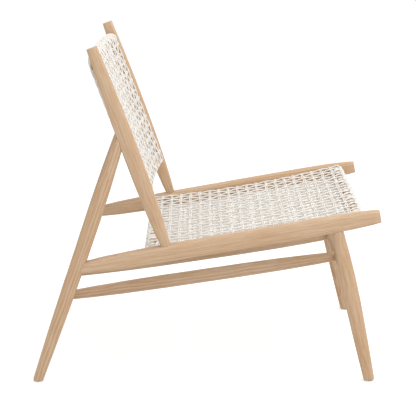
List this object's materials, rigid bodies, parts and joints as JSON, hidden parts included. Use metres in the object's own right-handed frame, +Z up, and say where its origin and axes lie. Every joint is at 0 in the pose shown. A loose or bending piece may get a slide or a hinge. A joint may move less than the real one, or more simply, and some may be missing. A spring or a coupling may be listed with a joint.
{
  "type": "lounge chair",
  "caption": "Low armless lounge chair: raked, tapered wooden side frames joined by stretchers, with a woven cord seat and back",
  "frame": {"origin": "on the floor, under the middle of the chair's outer box", "axes": "+X to the sitter's left, +Y to the rear, +Z up; the front faces -Y"},
  "size_m": [0.6188, 0.7898, 0.77],
  "materials": {
    "teak": "light natural teak, sanded and oiled, matt",
    "woven_cord": "white twisted paper-like cord, wound and woven, matt",
    "glide_plastic": "dark moulded plastic, matt"
  },
  "bodies": {
    "root": {"back_bottom_bar": "teak", "back_post_left": "teak", "back_post_right": "teak", "back_top_bar": "teak", "back_weave": "woven_cord", "front_cross_stretcher": "teak", "front_glide_left": "glide_plastic", "front_glide_right": "glide_plastic", "front_leg_left": "teak", "front_leg_right": "teak", "long_stretcher_left": "teak", "long_stretcher_right": "teak", "rear_cross_stretcher": "teak", "rear_glide_left": "glide_plastic", "rear_glide_right": "glide_plastic", "rear_leg_left": "teak", "rear_leg_right": "teak", "seat_front_bar": "teak", "seat_rail_left": "teak", "seat_rail_right": "teak", "seat_rear_bar": "teak", "seat_weave": "woven_cord"}
  },
  "joints": []
}
